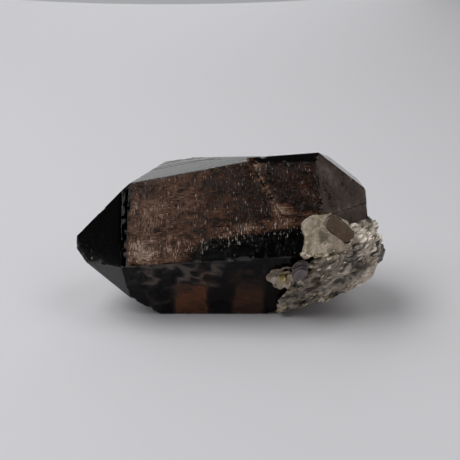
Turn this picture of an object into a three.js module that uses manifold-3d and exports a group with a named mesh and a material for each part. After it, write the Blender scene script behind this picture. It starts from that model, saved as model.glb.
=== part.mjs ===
// A smoky quartz crystal lying on one of its prism faces, with the mica and feldspar that it grew from
// still on its base end. All sizes are in millimetres, +Z is up, and the tip points along -X.
//
// A crystal is worked out the way it grows: each flat face is a plane at some distance from the
// centre, and the crystal is what lies inside all of them. Every other piece is cut back from its
// neighbours so that a thin gap is left between any two.
import * as THREE from 'three';
import { ConvexGeometry } from 'three/addons/geometries/ConvexGeometry.js';
import { mergeVertices } from 'three/addons/utils/BufferGeometryUtils.js';
import Module from 'manifold-3d';

const wasm = await Module();
wasm.setup();

// ---- Driving dimensions ----
const GAP = 0.3; // left between two pieces that touch
const AXIS_HEIGHT = 18.2; // the long axis above the surface that the crystal lies on
const FLAT = AXIS_HEIGHT; // from the axis to an ordinary prism face
const PYRAMID_LEAN = 38.2; // a quartz pyramid face leans this much from its prism face, in degrees
const TIP_REACH = 38.7; // from the centre to the blunted tip
const BASE_REACH = 34.5; // from the centre to the broken base end
const CRUST_THICKNESS = 1.5; // of the mica skin on the crystal's base end
const CRUST_UNDERSIDE = { x: 12.2, z: 0.8, slope: 23 }; // it starts there and rises towards the base, in degrees
const SLAB_THICKNESS = 1.8; // of the feldspar slab, out from the crystal's face
const BEYOND = 200; // larger than the whole specimen
const ROOT = 1; // small pieces are drawn this far into the face that they sit on, and then cut back

// ---- Crystal faces ----
// turn: degrees round the long axis, 90 is up, 180 is the front (-Y) and 270 is down.
// lean: degrees that the face tips over, towards the tip if positive and the base if negative.
// reach: from the crystal's centre to the face.
const MAIN_FACES = {
  prism_under: { turn: 270, lean: 0, reach: FLAT },
  prism_front_low: { turn: 210, lean: 0, reach: 18.6 },
  prism_front_up: { turn: 150, lean: 4.5, reach: 18.0 },
  prism_top: { turn: 90, lean: 10.5, reach: 19.6 },
  prism_back_up: { turn: 30, lean: 0, reach: FLAT },
  prism_back_low: { turn: 330, lean: 0, reach: FLAT },
  top_bevel: { turn: 122, lean: 3.2, reach: 22.2 },
  top_slope: { turn: 74, lean: -3.8, reach: 19.5 },
  tip_front_up: { turn: 151, lean: PYRAMID_LEAN, reach: 28.7 },
  tip_front_low: { turn: 214, lean: 31, reach: 28.8 },
  tip_under: { turn: 270, lean: PYRAMID_LEAN, reach: 25.2 },
  tip_top: { turn: 76, lean: 42.5, reach: 25.8 },
  tip_back_up: { turn: 28, lean: 37, reach: 28.6 },
  tip_back_low: { turn: 330, lean: PYRAMID_LEAN, reach: 27.5 },
  tip_blunt: { turn: 90, lean: 90, reach: TIP_REACH },
  tip_bevel: { turn: 155, lean: 24, reach: 26.4 },
  base_end: { turn: 90, lean: -90, reach: BASE_REACH },
  base_top: { turn: 90, lean: -39, reach: 30.9 },
  base_front_up: { turn: 143, lean: -42, reach: 29.6 },
  base_back: { turn: 20, lean: -48, reach: 31.5 },
  base_under: { turn: 270, lean: -24, reach: 20.3 },
  base_corner: { turn: 258, lean: -56, reach: 29.8 },
};

// A second crystal, grown side by side with the main one on its upper front, near the base.
const SECOND_FACES = {
  front: { turn: 150, lean: 4.5, reach: 18.7 },
  bevel: { turn: 122, lean: 3.2, reach: 22.6 },
  slope: { turn: 74, lean: 4.3, reach: 17.9 },
  back: { turn: 30, lean: 0, reach: 14 },
  left_step: { turn: 240, lean: 62, reach: -10.5 },
  lower_edge: { turn: 270, lean: 0, reach: -9.3 },
  base_top: { turn: 90, lean: -39, reach: 31.2 },
  base_front_up: { turn: 143, lean: -42, reach: 29.8 },
  base_end: { turn: 90, lean: -90, reach: BASE_REACH - 0.3 },
};

const CENTRE = new THREE.Vector3(0, 0, AXIS_HEIGHT);

function faceNormal({ turn, lean }) {
  const t = THREE.MathUtils.degToRad(turn);
  const l = THREE.MathUtils.degToRad(lean);
  return new THREE.Vector3(-Math.sin(l), Math.cos(l) * Math.cos(t), Math.cos(l) * Math.sin(t));
}

// The corners of the solid inside all the faces: where three planes meet and no other cuts them off.
function cornersInside(planes) {
  const corners = [];
  for (let i = 0; i < planes.length; i++) {
    for (let j = i + 1; j < planes.length; j++) {
      for (let k = j + 1; k < planes.length; k++) {
        const [a, b, c] = [planes[i], planes[j], planes[k]];
        const bc = b.normal.clone().cross(c.normal);
        const volume = a.normal.dot(bc);
        if (Math.abs(volume) < 1e-6) continue;
        const corner = bc.multiplyScalar(a.reach)
          .addScaledVector(c.normal.clone().cross(a.normal), b.reach)
          .addScaledVector(a.normal.clone().cross(b.normal), c.reach)
          .divideScalar(volume);
        if (planes.every((p) => p.normal.dot(corner) < p.reach + 1e-6)) corners.push(corner);
      }
    }
  }
  return corners;
}

// grow moves every face outwards by that much.
function crystalGeometry(faces, grow = 0) {
  const planes = Object.values(faces).map((f) => ({ normal: faceNormal(f), reach: f.reach + grow }));
  return new ConvexGeometry(cornersInside(planes));
}

// ---- Solids: geometry in, cut or joined, geometry out ----
const SAME_POINT = 1e-3; // corners closer than this are one corner

function toSolid(geometry) {
  const bare = geometry.clone();
  bare.deleteAttribute('normal');
  bare.deleteAttribute('uv');
  const merged = mergeVertices(bare, SAME_POINT);
  return new wasm.Manifold(new wasm.Mesh({
    numProp: 3,
    vertProperties: merged.attributes.position.array,
    triVerts: new Uint32Array(merged.index.array),
  }));
}

function toGeometry(solid) {
  const { vertProperties, triVerts } = solid.getMesh();
  const geometry = new THREE.BufferGeometry();
  geometry.setAttribute('position', new THREE.BufferAttribute(vertProperties, 3));
  geometry.setIndex(new THREE.BufferAttribute(triVerts, 1));
  return geometry;
}

const joined = (solids) => solids.reduce((all, one) => all.add(one));
const cutBack = (solid, others) => others.reduce((left, other) => left.subtract(other), solid);

// ---- Places on the crystal's faces ----
// A frame on a face: local z points out of it, local x runs towards the base, local y runs up it.
// Its origin is the foot of the line from the centre to the face.
function frameOnFace(face, { x = 0, y = 0, out = 0, spin = 0 } = {}) {
  const normal = faceNormal(face);
  const along = new THREE.Vector3(1, 0, 0).addScaledVector(normal, -normal.x).normalize();
  const up = normal.clone().cross(along);
  const matrix = new THREE.Matrix4().makeBasis(along, up, normal);
  matrix.setPosition(CENTRE.clone().addScaledVector(normal, face.reach));
  return matrix
    .multiply(new THREE.Matrix4().makeTranslation(x, y, out))
    .multiply(new THREE.Matrix4().makeRotationZ(THREE.MathUtils.degToRad(spin)));
}

// ---- Main crystal ----
function quartzSolid(grow) {
  return joined([MAIN_FACES, SECOND_FACES].map((faces) => (
    toSolid(crystalGeometry(faces, grow).translate(...CENTRE))
  )));
}

// ---- Mica crust on the base end ----
// A thin skin that follows the crystal, with lumpy lobes and tilted plates of mica standing on it.
const CRUST_REGION = { at: [30, -4, 6], size: [18, 36, 18] }; // how far the skin spreads
const CRUST_LOBES = [
  { at: [25, -15.5, 13], size: [8, 5.2, 5.4] }, // front bulge
  { at: [31, -11, 14.5], size: [5.2, 7, 5.6] }, // lower right end
  { at: [32, 2, 15], size: [4.6, 8, 6.5] }, // far end, towards the back
  { at: [25, 10.5, 9.5], size: [8, 7, 5.5] }, // back bulge
  { at: [14.2, -12.2, 5.2], size: [3.4, 2.6, 4.3] }, // toe
  { at: [33.6, -8, 21], size: [3, 5, 2.6] }, // upper knob
  { at: [30.2, -17, 20.2], size: [4.6, 3.8, 3.6] }, // under the feldspar's right half
];
const LOBE_LUMP = 0.07; // height of a lump, as a share of the lobe's size
const PLATE = { length: 2.5, width: 2.1, thickness: 0.65 }; // half sizes
const PLATE_STEP = 3.1; // between plates
const PLATE_HEIGHTS = [3.2, 20]; // of the lowest and the highest plate's middle
const PLATE_SLOPE = 30; // the plates rise this much towards the base, in degrees
const FACE_HALF = { length: 42, width: 15 }; // plates are tried this far out on each face
const CRUSTED_FACES = [
  'prism_front_low', 'prism_front_up', 'base_end', 'base_front_up', 'base_corner', 'base_under',
  'prism_back_low', 'prism_back_up',
];

// A smooth lumpy field of three crossed waves, between -1 and 1.
function lump(p, phase) {
  return (Math.sin(2.1 * p.x + 1.3 * p.y + phase)
    + Math.sin(2.7 * p.y - 1.7 * p.z + 2 * phase)
    + Math.sin(3.1 * p.z + 1.9 * p.x + 3 * phase)) / 3;
}

function lobeSolid({ at, size }, phase, detail) {
  const ball = new THREE.IcosahedronGeometry(1, detail);
  const points = ball.attributes.position;
  const p = new THREE.Vector3();
  for (let i = 0; i < points.count; i++) {
    p.fromBufferAttribute(points, i);
    const lumpy = 1 + LOBE_LUMP * lump(p.clone().multiplyScalar(2.2), phase);
    points.setXYZ(i, p.x * lumpy * size[0], p.y * lumpy * size[1], p.z * lumpy * size[2]);
  }
  return toSolid(ball.translate(...at));
}

// random gives numbers spread evenly over -1 to 1, the same ones on every run.
THREE.MathUtils.seededRandom(7);
const random = () => 2 * THREE.MathUtils.seededRandom() - 1;

// An uneven six-sided plate, centred on a point.
function plateSolid(at) {
  const scale = 1 + 0.3 * random();
  const points = [];
  for (let corner = 0; corner < 6; corner++) {
    const turn = (corner * Math.PI) / 3 + 0.25 * random();
    const x = PLATE.length * (1 + 0.25 * random()) * Math.cos(turn);
    const y = PLATE.width * (1 + 0.25 * random()) * Math.sin(turn);
    points.push(new THREE.Vector3(x, y, PLATE.thickness * (1 + 0.3 * random())));
    points.push(new THREE.Vector3(x * 0.9, y * 0.9, -PLATE.thickness));
  }
  const slope = THREE.MathUtils.degToRad(PLATE_SLOPE);
  const plate = new ConvexGeometry(points)
    .rotateX(0.35 * random())
    .rotateY(-slope + 0.3 * random())
    .rotateZ(0.4 * random())
    .scale(scale, scale, scale);
  return toSolid(plate.translate(at.x, at.y, at.z));
}

function insideRegion(p) {
  const { at, size } = CRUST_REGION;
  return Math.hypot((p.x - at[0]) / size[0], (p.y - at[1]) / size[1], (p.z - at[2]) / size[2]) < 0.97;
}

function insideCrystal(p, slack) {
  return Object.values(MAIN_FACES).every((f) => faceNormal(f).dot(p.clone().sub(CENTRE)) < f.reach + slack);
}

// Plates stand all over the crusted faces, a little unevenly.
function plateSolids() {
  const plates = [];
  for (const face of CRUSTED_FACES) {
    for (let x = -FACE_HALF.length; x < FACE_HALF.length; x += PLATE_STEP) {
      for (let y = -FACE_HALF.width; y < FACE_HALF.width; y += PLATE_STEP) {
        const place = { x: x + random(), y: y + random(), out: 0.6 + 0.4 * random() };
        const at = new THREE.Vector3().setFromMatrixPosition(frameOnFace(MAIN_FACES[face], place));
        const standing = at.z > PLATE_HEIGHTS[0] && at.z < PLATE_HEIGHTS[1];
        if (standing && insideRegion(at) && insideCrystal(at, CRUST_THICKNESS)) plates.push(plateSolid(at));
      }
    }
  }
  return plates;
}

function crustSolid() {
  const skin = quartzSolid(CRUST_THICKNESS).intersect(lobeSolid(CRUST_REGION, 0.4, 9));
  const lobes = CRUST_LOBES.map((lobe, i) => lobeSolid(lobe, 0.9 * i + 1, 4));
  const { x, z, slope } = CRUST_UNDERSIDE;
  const below = new THREE.BoxGeometry(BEYOND, BEYOND, BEYOND)
    .translate(0, 0, -BEYOND / 2)
    .rotateY(-THREE.MathUtils.degToRad(slope))
    .translate(x, 0, z);
  return joined([skin, ...lobes, ...plateSolids()]).subtract(toSolid(below));
}

// ---- Feldspar slab: a smooth pale plate on the front face, above the crust ----
const SLAB_OUTLINE = [
  [18.0, -2.6], [20.2, -0.9], [25.2, -0.5], [28.8, -2.2], [30.6, -6.2],
  [29.4, -9.2], [24.5, -10.4], [18.6, -10.6], [18.9, -6.6],
];

function slabSolid(grow) {
  const outline = new THREE.Shape(SLAB_OUTLINE.map(([x, y]) => new THREE.Vector2(x, y)));
  const edge = 0.35;
  const slab = new THREE.ExtrudeGeometry(outline, {
    depth: ROOT + SLAB_THICKNESS - 2 * edge + 2 * grow,
    bevelThickness: edge,
    bevelSize: edge + grow,
    bevelOffset: -edge,
    bevelSegments: 2,
  });
  const out = edge - ROOT - grow;
  return toSolid(slab.applyMatrix4(frameOnFace(MAIN_FACES.prism_front_up, { out })));
}

// ---- Small crystals, each a short six-sided prism with a blunt end at both ends ----
function smallCrystal(flat, halfLength, grow) {
  const faces = {};
  for (let turn = 30; turn < 360; turn += 60) {
    faces['side' + turn] = { turn, lean: 0, reach: flat };
    faces['left' + turn] = { turn, lean: 52, reach: halfLength * 0.79 + flat * 0.3 };
    faces['right' + turn] = { turn, lean: -52, reach: halfLength * 0.79 + flat * 0.3 };
  }
  faces.left = { turn: 90, lean: 90, reach: halfLength };
  faces.right = { turn: 90, lean: -90, reach: halfLength };
  return crystalGeometry(faces, grow);
}

const TAN_CRYSTAL = { flat: 1.5, halfLength: 3.5, x: 27, y: -4.3, out: 1.35, spin: -41 };

function tanCrystalSolid(grow) {
  const { flat, halfLength, ...place } = TAN_CRYSTAL;
  const crystal = smallCrystal(flat, halfLength, grow);
  return toSolid(crystal.applyMatrix4(frameOnFace(MAIN_FACES.prism_front_up, place)));
}

const END_CRYSTAL = { flat: 2.4, halfLength: 3.1, at: [35.5, -9, 15.9], yaw: -18, pitch: 12 };

function endCrystalSolid(grow) {
  const { flat, halfLength, at, yaw, pitch } = END_CRYSTAL;
  const crystal = smallCrystal(flat, halfLength, grow)
    .rotateY(THREE.MathUtils.degToRad(pitch))
    .rotateZ(THREE.MathUtils.degToRad(yaw));
  return toSolid(crystal.translate(...at));
}

// ---- Mica rosette: a fan of thin leaves with a scalloped rim, on the lower front face ----
const ROSETTE = { radius: 4.0, thickness: 2.4, leaves: 7, scallop: 0.13 };
const ROSETTE_PLACE = { x: 12.3, y: 4.6 };

function rosetteSolid(grow) {
  const { radius, thickness, leaves, scallop } = ROSETTE;
  const rim = [];
  const steps = leaves * 8;
  for (let i = 0; i < steps; i++) {
    const turn = (2 * Math.PI * i) / steps;
    const reach = radius * (1 - scallop + scallop * Math.abs(Math.sin((leaves * turn) / 2))) + grow;
    rim.push(new THREE.Vector2(reach * Math.cos(turn), 1.12 * reach * Math.sin(turn)));
  }
  const disc = new THREE.ExtrudeGeometry(new THREE.Shape(rim), {
    depth: ROOT + thickness + 2 * grow,
    bevelEnabled: false,
  });
  const place = { ...ROSETTE_PLACE, out: -ROOT - grow };
  return toSolid(disc.applyMatrix4(frameOnFace(MAIN_FACES.prism_front_low, place)));
}

// ---- Grey mica book: a stack of leaves standing beside the rosette ----
const BOOK = { width: 3.8, height: 5.8, thickness: 2.8 };
const BOOK_PLACE = { x: 16.5, y: 8.3, spin: -16 };

function bookSolid(grow) {
  const { width, height, thickness } = BOOK;
  const outline = new THREE.Shape();
  outline.absellipse(0, 0, width / 2 + grow, height / 2 + grow, 0, 2 * Math.PI);
  const book = new THREE.ExtrudeGeometry(outline, {
    depth: ROOT + thickness + 2 * grow,
    bevelEnabled: false,
    curveSegments: 10,
  });
  const place = { ...BOOK_PLACE, out: -ROOT - grow };
  return toSolid(book.applyMatrix4(frameOnFace(MAIN_FACES.prism_front_low, place)));
}

// ---- Assembly: each piece is cut back from the ones before it ----
const quartz = quartzSolid(0);
const quartzGrown = quartzSolid(GAP);
const tanCrystal = cutBack(tanCrystalSolid(0), [quartzGrown]);
const endCrystal = cutBack(endCrystalSolid(0), [quartzGrown]);
const rosette = cutBack(rosetteSolid(0), [quartzGrown]);
const book = cutBack(bookSolid(0), [quartzGrown, rosetteSolid(GAP)]);
const slab = cutBack(slabSolid(0), [quartzGrown, tanCrystalSolid(GAP)]);
const crust = cutBack(crustSolid(), [
  quartzGrown, tanCrystalSolid(GAP), endCrystalSolid(GAP), rosetteSolid(GAP), bookSolid(GAP), slabSolid(GAP),
]);

// A cut can leave loose crumbs, so only the largest piece is kept.
function largestPiece(solid) {
  const pieces = toSolid(toGeometry(solid)).decompose();
  return pieces.reduce((best, one) => (one.volume() > best.volume() ? one : best));
}

const PIECES = [
  ['smoky_quartz_crystal', quartz, { color: 0x2b1a12, roughness: 0.12, metalness: 0 }],
  ['mica_crust', crust, { color: 0x9a9186, roughness: 0.85, metalness: 0 }],
  ['feldspar_slab', slab, { color: 0xb3a696, roughness: 0.6, metalness: 0 }],
  ['tan_crystal', tanCrystal, { color: 0x7d6a58, roughness: 0.45, metalness: 0 }],
  ['mica_rosette', rosette, { color: 0xa89c8c, roughness: 0.5, metalness: 0 }],
  ['grey_mica_book', book, { color: 0x6f6468, roughness: 0.5, metalness: 0 }],
  ['end_crystal', endCrystal, { color: 0x6a625e, roughness: 0.4, metalness: 0 }],
];

const specimen = new THREE.Group();
for (const [name, solid, finish] of PIECES) {
  const mesh = new THREE.Mesh(toGeometry(largestPiece(solid)), new THREE.MeshStandardMaterial(finish));
  mesh.name = name;
  specimen.add(mesh);
}

// The origin is the middle of the specimen's box, on the surface that it lies on.
const box = new THREE.Box3().setFromObject(specimen);
const middle = box.getCenter(new THREE.Vector3());
specimen.position.set(-middle.x, -middle.y, -box.min.z);

export default specimen;
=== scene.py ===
"""A smoky quartz crystal on its side, with mica and feldspar on its base end.

Everything is in metres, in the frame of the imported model: +X runs from the crystal's tip to its base,
-Y is its front and +Z is up.
"""

import math
import random

import bmesh
import bpy
from mathutils import Euler, Matrix, Vector, noise
from mathutils.bvhtree import BVHTree
from mathutils.kdtree import KDTree


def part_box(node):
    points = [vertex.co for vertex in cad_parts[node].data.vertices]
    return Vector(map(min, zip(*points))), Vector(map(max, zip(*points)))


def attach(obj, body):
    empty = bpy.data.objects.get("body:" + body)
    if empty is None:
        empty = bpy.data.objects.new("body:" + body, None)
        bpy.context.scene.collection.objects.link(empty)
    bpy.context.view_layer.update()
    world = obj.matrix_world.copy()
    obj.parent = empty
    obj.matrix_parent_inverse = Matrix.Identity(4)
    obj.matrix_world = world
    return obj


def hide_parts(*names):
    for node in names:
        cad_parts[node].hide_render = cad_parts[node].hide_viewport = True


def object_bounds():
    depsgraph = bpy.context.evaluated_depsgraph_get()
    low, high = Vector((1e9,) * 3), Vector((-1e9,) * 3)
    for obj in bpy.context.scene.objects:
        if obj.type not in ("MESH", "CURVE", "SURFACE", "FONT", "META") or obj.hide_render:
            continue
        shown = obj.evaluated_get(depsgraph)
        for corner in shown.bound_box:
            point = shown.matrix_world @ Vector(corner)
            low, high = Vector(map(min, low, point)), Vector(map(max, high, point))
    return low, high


bl_info = {
    "name": "Smoky Quartz Specimen",
    "version": (1, 0, 0),
    "blender": (4, 5, 0),
    "location": "View3D > Sidebar > Quartz",
    "description": "Builds a smoky quartz crystal with a mica and feldspar crust",
    "category": "Object",
}

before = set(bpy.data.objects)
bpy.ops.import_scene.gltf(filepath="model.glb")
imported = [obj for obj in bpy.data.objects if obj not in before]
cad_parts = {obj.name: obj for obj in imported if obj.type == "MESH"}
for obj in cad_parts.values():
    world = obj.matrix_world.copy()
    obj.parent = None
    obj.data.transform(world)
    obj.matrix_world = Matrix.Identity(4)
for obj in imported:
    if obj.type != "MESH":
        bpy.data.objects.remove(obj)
CAD_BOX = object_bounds()
MM = 0.001
LOW, HIGH = CAD_BOX
QUARTZ_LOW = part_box("smoky_quartz_crystal")[0]
# The crystal's own middle, on the floor: its tip is 38.7 mm from there and its front edge 22.24 mm.
CENTRE = QUARTZ_LOW + Vector((38.7, 22.24, 0)) * MM


# ---- Small tools ----
def linear(hex_colour):
    """An sRGB hex colour, such as "#ffcc88", as linear red, green, blue and alpha."""
    channels = []
    for i in (1, 3, 5):
        value = int(hex_colour[i : i + 2], 16) / 255
        low = value <= 0.04045
        channels.append(value / 12.92 if low else ((value + 0.055) / 1.055) ** 2.4)
    return (*channels, 1.0)


def rgba(colour):
    """A hex colour, or one of the look's own colours, as linear red, green, blue and alpha."""
    return linear(colour) if isinstance(colour, str) else (*colour, 1.0)


def per_mm(size):
    """A texture scale whose features are about this many millimetres."""
    return 1 / (size * MM)


def add_node(tree, kind, inputs=None, **settings):
    """Adds a node with its settings. An input that is a socket is linked, and any other is set."""
    node = tree.nodes.new(kind)
    for name, value in settings.items():
        setattr(node, name, value)
    for key, value in (inputs or {}).items():
        if isinstance(value, bpy.types.NodeSocket):
            tree.links.new(value, node.inputs[key])
        else:
            node.inputs[key].default_value = value
    return node


def smoothstep(low, high, value):
    """0 below low, 1 above high, and a smooth rise between them."""
    t = min(max((value - low) / (high - low), 0), 1)
    return t * t * (3 - 2 * t)


def start_material(name):
    """A new material's node tree, its Principled shader and its Object coordinates."""
    material = bpy.data.materials.new(name)
    material.use_nodes = True
    tree = material.node_tree
    shader = tree.nodes["Principled BSDF"]
    place = add_node(tree, "ShaderNodeTexCoord").outputs["Object"]
    return material, tree, shader, place


def turned(tree, place, rotation=(0, 0, 0), scale=(1, 1, 1)):
    """Object coordinates that are turned, in degrees, and stretched."""
    angles = [math.radians(a) for a in rotation]
    once = add_node(tree, "ShaderNodeMapping", {"Vector": place, "Rotation": angles})
    return add_node(tree, "ShaderNodeMapping", {"Vector": once.outputs[0], "Scale": scale}).outputs[0]


def grain(tree, place, size, detail=3, roughness=0.55, distortion=0.0):
    """Noise with features of this many millimetres."""
    return add_node(
        tree,
        "ShaderNodeTexNoise",
        {
            "Vector": place,
            "Scale": per_mm(size),
            "Detail": detail,
            "Roughness": roughness,
            "Distortion": distortion,
        },
    ).outputs["Fac"]


def ramp(tree, value, stops):
    """A colour ramp through (position, hex colour) stops."""
    node = add_node(tree, "ShaderNodeValToRGB", {"Fac": value})
    elements = node.color_ramp.elements
    while len(elements) < len(stops):
        elements.new(0.5)
    for element, (position, colour) in zip(elements, stops):
        element.position = position
        element.color = rgba(colour)
    return node.outputs["Color"]


def spread(tree, value, low, high, out_low=0.0, out_high=1.0):
    """A value rescaled from low..high to out_low..out_high, and clamped."""
    return add_node(
        tree,
        "ShaderNodeMapRange",
        {"Value": value, "From Min": low, "From Max": high, "To Min": out_low, "To Max": out_high},
        interpolation_type="SMOOTHSTEP",
    ).outputs["Result"]


def maths(tree, operation, a, b=0.0):
    """One step of arithmetic."""
    return add_node(tree, "ShaderNodeMath", {0: a, 1: b}, operation=operation).outputs[0]


def mix_colour(tree, factor, a, b):
    """Two colours mixed. A Mix node's inputs 6 and 7 and its output 2 are its colours."""
    return add_node(tree, "ShaderNodeMix", {0: factor, 6: a, 7: b}, data_type="RGBA").outputs[2]


def attribute(tree, name):
    """One of the piece's own painted values."""
    return add_node(tree, "ShaderNodeAttribute", attribute_name=name).outputs["Fac"]


def bump(tree, height, depth, strength=1.0, under=None):
    """Surface relief of this many millimetres."""
    inputs = {"Height": height, "Distance": depth * MM, "Strength": strength}
    if under is not None:
        inputs["Normal"] = under
    return add_node(tree, "ShaderNodeBump", inputs).outputs["Normal"]


# ---- Meshes ----
def copied(node):
    """A merged copy of a CAD node's mesh."""
    mesh = bmesh.new()
    mesh.from_mesh(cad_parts[node].data)
    bmesh.ops.remove_doubles(mesh, verts=mesh.verts, dist=0.002 * MM)
    return mesh


def as_object(name, mesh, material, smooth_angle=30):
    """A finished object from a bmesh."""
    data = bpy.data.meshes.new(name)
    mesh.to_mesh(data)
    mesh.free()
    piece = bpy.data.objects.new(name, data)
    bpy.context.scene.collection.objects.link(piece)
    data.materials.clear()
    data.materials.append(material)
    data.polygons.foreach_set("use_smooth", [True] * len(data.polygons))
    data.polygons.foreach_set("material_index", [0] * len(data.polygons))
    data.set_sharp_from_angle(angle=math.radians(smooth_angle))
    return piece


def settle(piece, slot, *nodes):
    """Ties a finished piece to the frame, in place of its CAD nodes."""
    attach(piece, "root")
    if nodes:
        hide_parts(*nodes)
    return piece


def remeshed(mesh, voxel):
    """A bmesh rebuilt from even voxels of this many millimetres."""
    data = bpy.data.meshes.new("rough")
    mesh.to_mesh(data)
    mesh.free()
    rough = bpy.data.objects.new("rough", data)
    bpy.context.scene.collection.objects.link(rough)
    step = rough.modifiers.new("even", "REMESH")
    step.mode = "VOXEL"
    step.voxel_size = voxel * MM
    even = bpy.data.meshes.new_from_object(rough.evaluated_get(bpy.context.evaluated_depsgraph_get()))
    fine = bmesh.new()
    fine.from_mesh(even)
    bpy.data.objects.remove(rough)
    bpy.data.meshes.remove(even)
    return fine


def smooth_out(mesh, rounds):
    """Evens out a bmesh's vertices this many times."""
    for _ in range(rounds):
        bmesh.ops.smooth_vert(
            mesh, verts=mesh.verts, factor=0.5, use_axis_x=True, use_axis_y=True, use_axis_z=True
        )


def push_out(mesh, height):
    """Moves each vertex along its normal by height(vertex position, normal), in millimetres."""
    mesh.normal_update()
    moves = [(v, v.normal * height(v.co / MM, v.normal) * MM) for v in mesh.verts]
    for vertex, move in moves:
        vertex.co += move


def lumps(p, size, octaves=3, seed=0.0):
    """Fractal noise, about -1 to 1, with features of this many millimetres."""
    return noise.fractal(p / size + Vector((seed, 2 * seed, -seed)), 0.9, 2.1, octaves)


# ---- Smoky quartz ----
def face_direction(turn, lean):
    """The outward direction of a crystal face: its turn about the long axis and its lean to the tip."""
    t, tip = math.radians(turn), math.radians(lean)
    return Vector((-math.sin(tip), math.cos(tip) * math.cos(t), math.cos(tip) * math.sin(t)))


FRONT_UP = face_direction(150, 4.5)
FRONT_LOW = face_direction(210, 0)
TOP = face_direction(90, 10.5)
BASE_FRONT = face_direction(143, -42)
BASE_TOP = face_direction(90, -39)
TIP_FRONT = face_direction(151, 38.2)


def on_face(normal, direction):
    """1 where the surface faces that way, and 0 elsewhere."""
    return smoothstep(0.955, 0.985, normal.dot(direction))


def blob(p, centre, radii):
    """1 at the middle of a soft ellipsoid and 0 outside it, in millimetres."""
    reach = math.hypot(*((a - c) / r for a, c, r in zip(p, centre, radii)))
    return smoothstep(1.2, 0.3, reach)


def band(value, low, high, soft):
    """1 between low and high, with soft ends."""
    return smoothstep(low - soft, low + soft, value) * smoothstep(high + soft, high - soft, value)


# The next five functions give the amounts that are painted on the crystal's faces. Their places are in
# millimetres from CENTRE.
NOTCH = (6.8, -9.8, 38.2)
TOP_CORNER = (22.6, -11, 38)


def upper_front(p):
    """Milk, specks, smoke and etching of the upper front face: milk at the tip's end, a dark belt below."""
    drift = lumps(p, 6, 3, 4)
    belt_top = 20.6 + 0.16 * (p.x + 10) + 0.5 * drift
    belt = smoothstep(-14, -5, p.x + 2 * drift) * smoothstep(belt_top + 0.7, belt_top - 0.5, p.z)
    ledge = band(p.x, -3, 17, 2.5) * band(p.z, belt_top + 0.4, belt_top + 2.8, 0.8)
    milk = 0.34 - 0.22 * smoothstep(-20, 8, p.x + 2.5 * drift)
    milk += 0.34 * blob(p, (-20.5, -18.6, 19.5), (4.5, 6, 3.2)) - 0.16 * blob(p, (-20, -9, 32.5), (8, 6, 4))
    milk += 0.14 * blob(p, (-18, -13.9, 26), (5, 6, 2.6)) + 0.06 * blob(p, (-12, -12, 30), (6, 6, 4))
    milk += 0.24 * ledge + 0.35 * blob(p, NOTCH, (2.2, 3, 1.1))
    milk += 0.35 * blob(p, (12.4, -17, 28.3), (3, 4, 2))
    chips = blob(p, NOTCH, (2.6, 3, 1.3)) + blob(p, TOP_CORNER, (2, 3, 2))
    seam = band(p.z, belt_top - 1.8, belt_top + 1, 0.8)
    # Speck sets how thick the painted glint ticks are: more on the chips, the ledge and the seam.
    speck = 0.68 + 0.4 * chips + 0.3 * ledge + 0.35 * seam - 0.12 * belt
    # The etching stops short of the tip's own face.
    inside = smoothstep(-24.9, -24.1, p.x + 0.8 * lumps(p, 2, 2, 8) + 0.04 * (22 - p.z))
    dark = max(0.88 + 0.1 * belt, 1 - inside)
    return milk * (1 - 0.97 * belt) * inside, speck * inside, dark, inside * (1 - 0.4 * belt)


def painted_window_light(p):
    """Painted amber light on the lower front face, in place of light seen through it: two windows and a
    dimmer patch above.
    """
    x, z = p.x + 0.6 * lumps(p, 3.2, 3, 6), p.z + 0.5 * lumps(p, 2.4, 3, 9)
    dimmed = 1 - 0.5 * band(x, -13, -9, 1) * band(z, 8, 9, 1)
    left = band(x, -13.6, -5.6, 0.45) * smoothstep(10.6, 9.2, z) * dimmed
    right = band(x, 0.4 + 0.1 * z, 8.4, 0.7) * smoothstep(14, 6, z)
    upper = band(x, -7.5, 8.5, 0.8) * band(z, 10.5, 15, 0.8) * smoothstep(-0.3, 0.4, lumps(p, 3, 3, 31))
    cracks = smoothstep(0.06, 0.0, abs(lumps(p, 5, 2, 37)))
    clouds = smoothstep(0, 0.6, lumps(p, 3, 3, 41))
    return max(left, 0.75 * right, 0.45 * upper) * (1 - 0.45 * cracks - 0.25 * clouds)


def lower_front(p):
    """Milk, specks, smoke and etching of the lower front face: smoky glass with veils."""
    veil = band(p.x, -23, -2, 2) * band(p.z, 9.5, 17.5, 1.5) * smoothstep(0.4, 0.0, abs(lumps(p, 4, 2, 13)))
    threads = smoothstep(0.09, 0.0, abs(lumps(p, 5, 2, 17)))
    veil += 0.5 * band(p.x, -24, -10, 2) * threads * smoothstep(4, 9, p.z)
    veil += 0.35 * band(p.x, -25, -13, 1.5) * smoothstep(0.1, 0.5, lumps(p, 3, 3, 23))
    return 0.22 * veil, 0.2, 0.96, 0.03


def base_faces(p):
    """Milk, specks, smoke and etching of the hazy faces round the base."""
    drift = lumps(p, 4, 3, 12)
    milk = 0.34 + 0.25 * drift + 0.5 * blob(p, (24, -11, 36.5), (3.4, 3, 2.6))
    milk += 0.3 * smoothstep(0.3, 0.6, lumps(p, 1.5, 3, 15))
    return milk, 0.55, 0.8, 0.4


def back_faces(p):
    """Milk, specks, smoke and etching of the sides away from the front: etched patches on dark glass."""
    drift = lumps(p, 6, 3, 21)
    patch = smoothstep(-0.1, 0.5, drift)
    return 0.12 + 0.34 * patch, 0.25 + 0.3 * patch, 0.6 * (1 - patch), 0.2 + 0.35 * patch


# In PAINTED, "speck" is how thick the painted glint ticks are, and "amber" how much painted amber light
# there is.
PAINTED = ("milk", "speck", "smoke", "etch", "gloss", "amber", "steps", "cool")
# Milk, specks, smoke and etching of every face that has no function of its own.
PLAIN_FACE = (0.02, 0.1, 0.9, 0.06)


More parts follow.
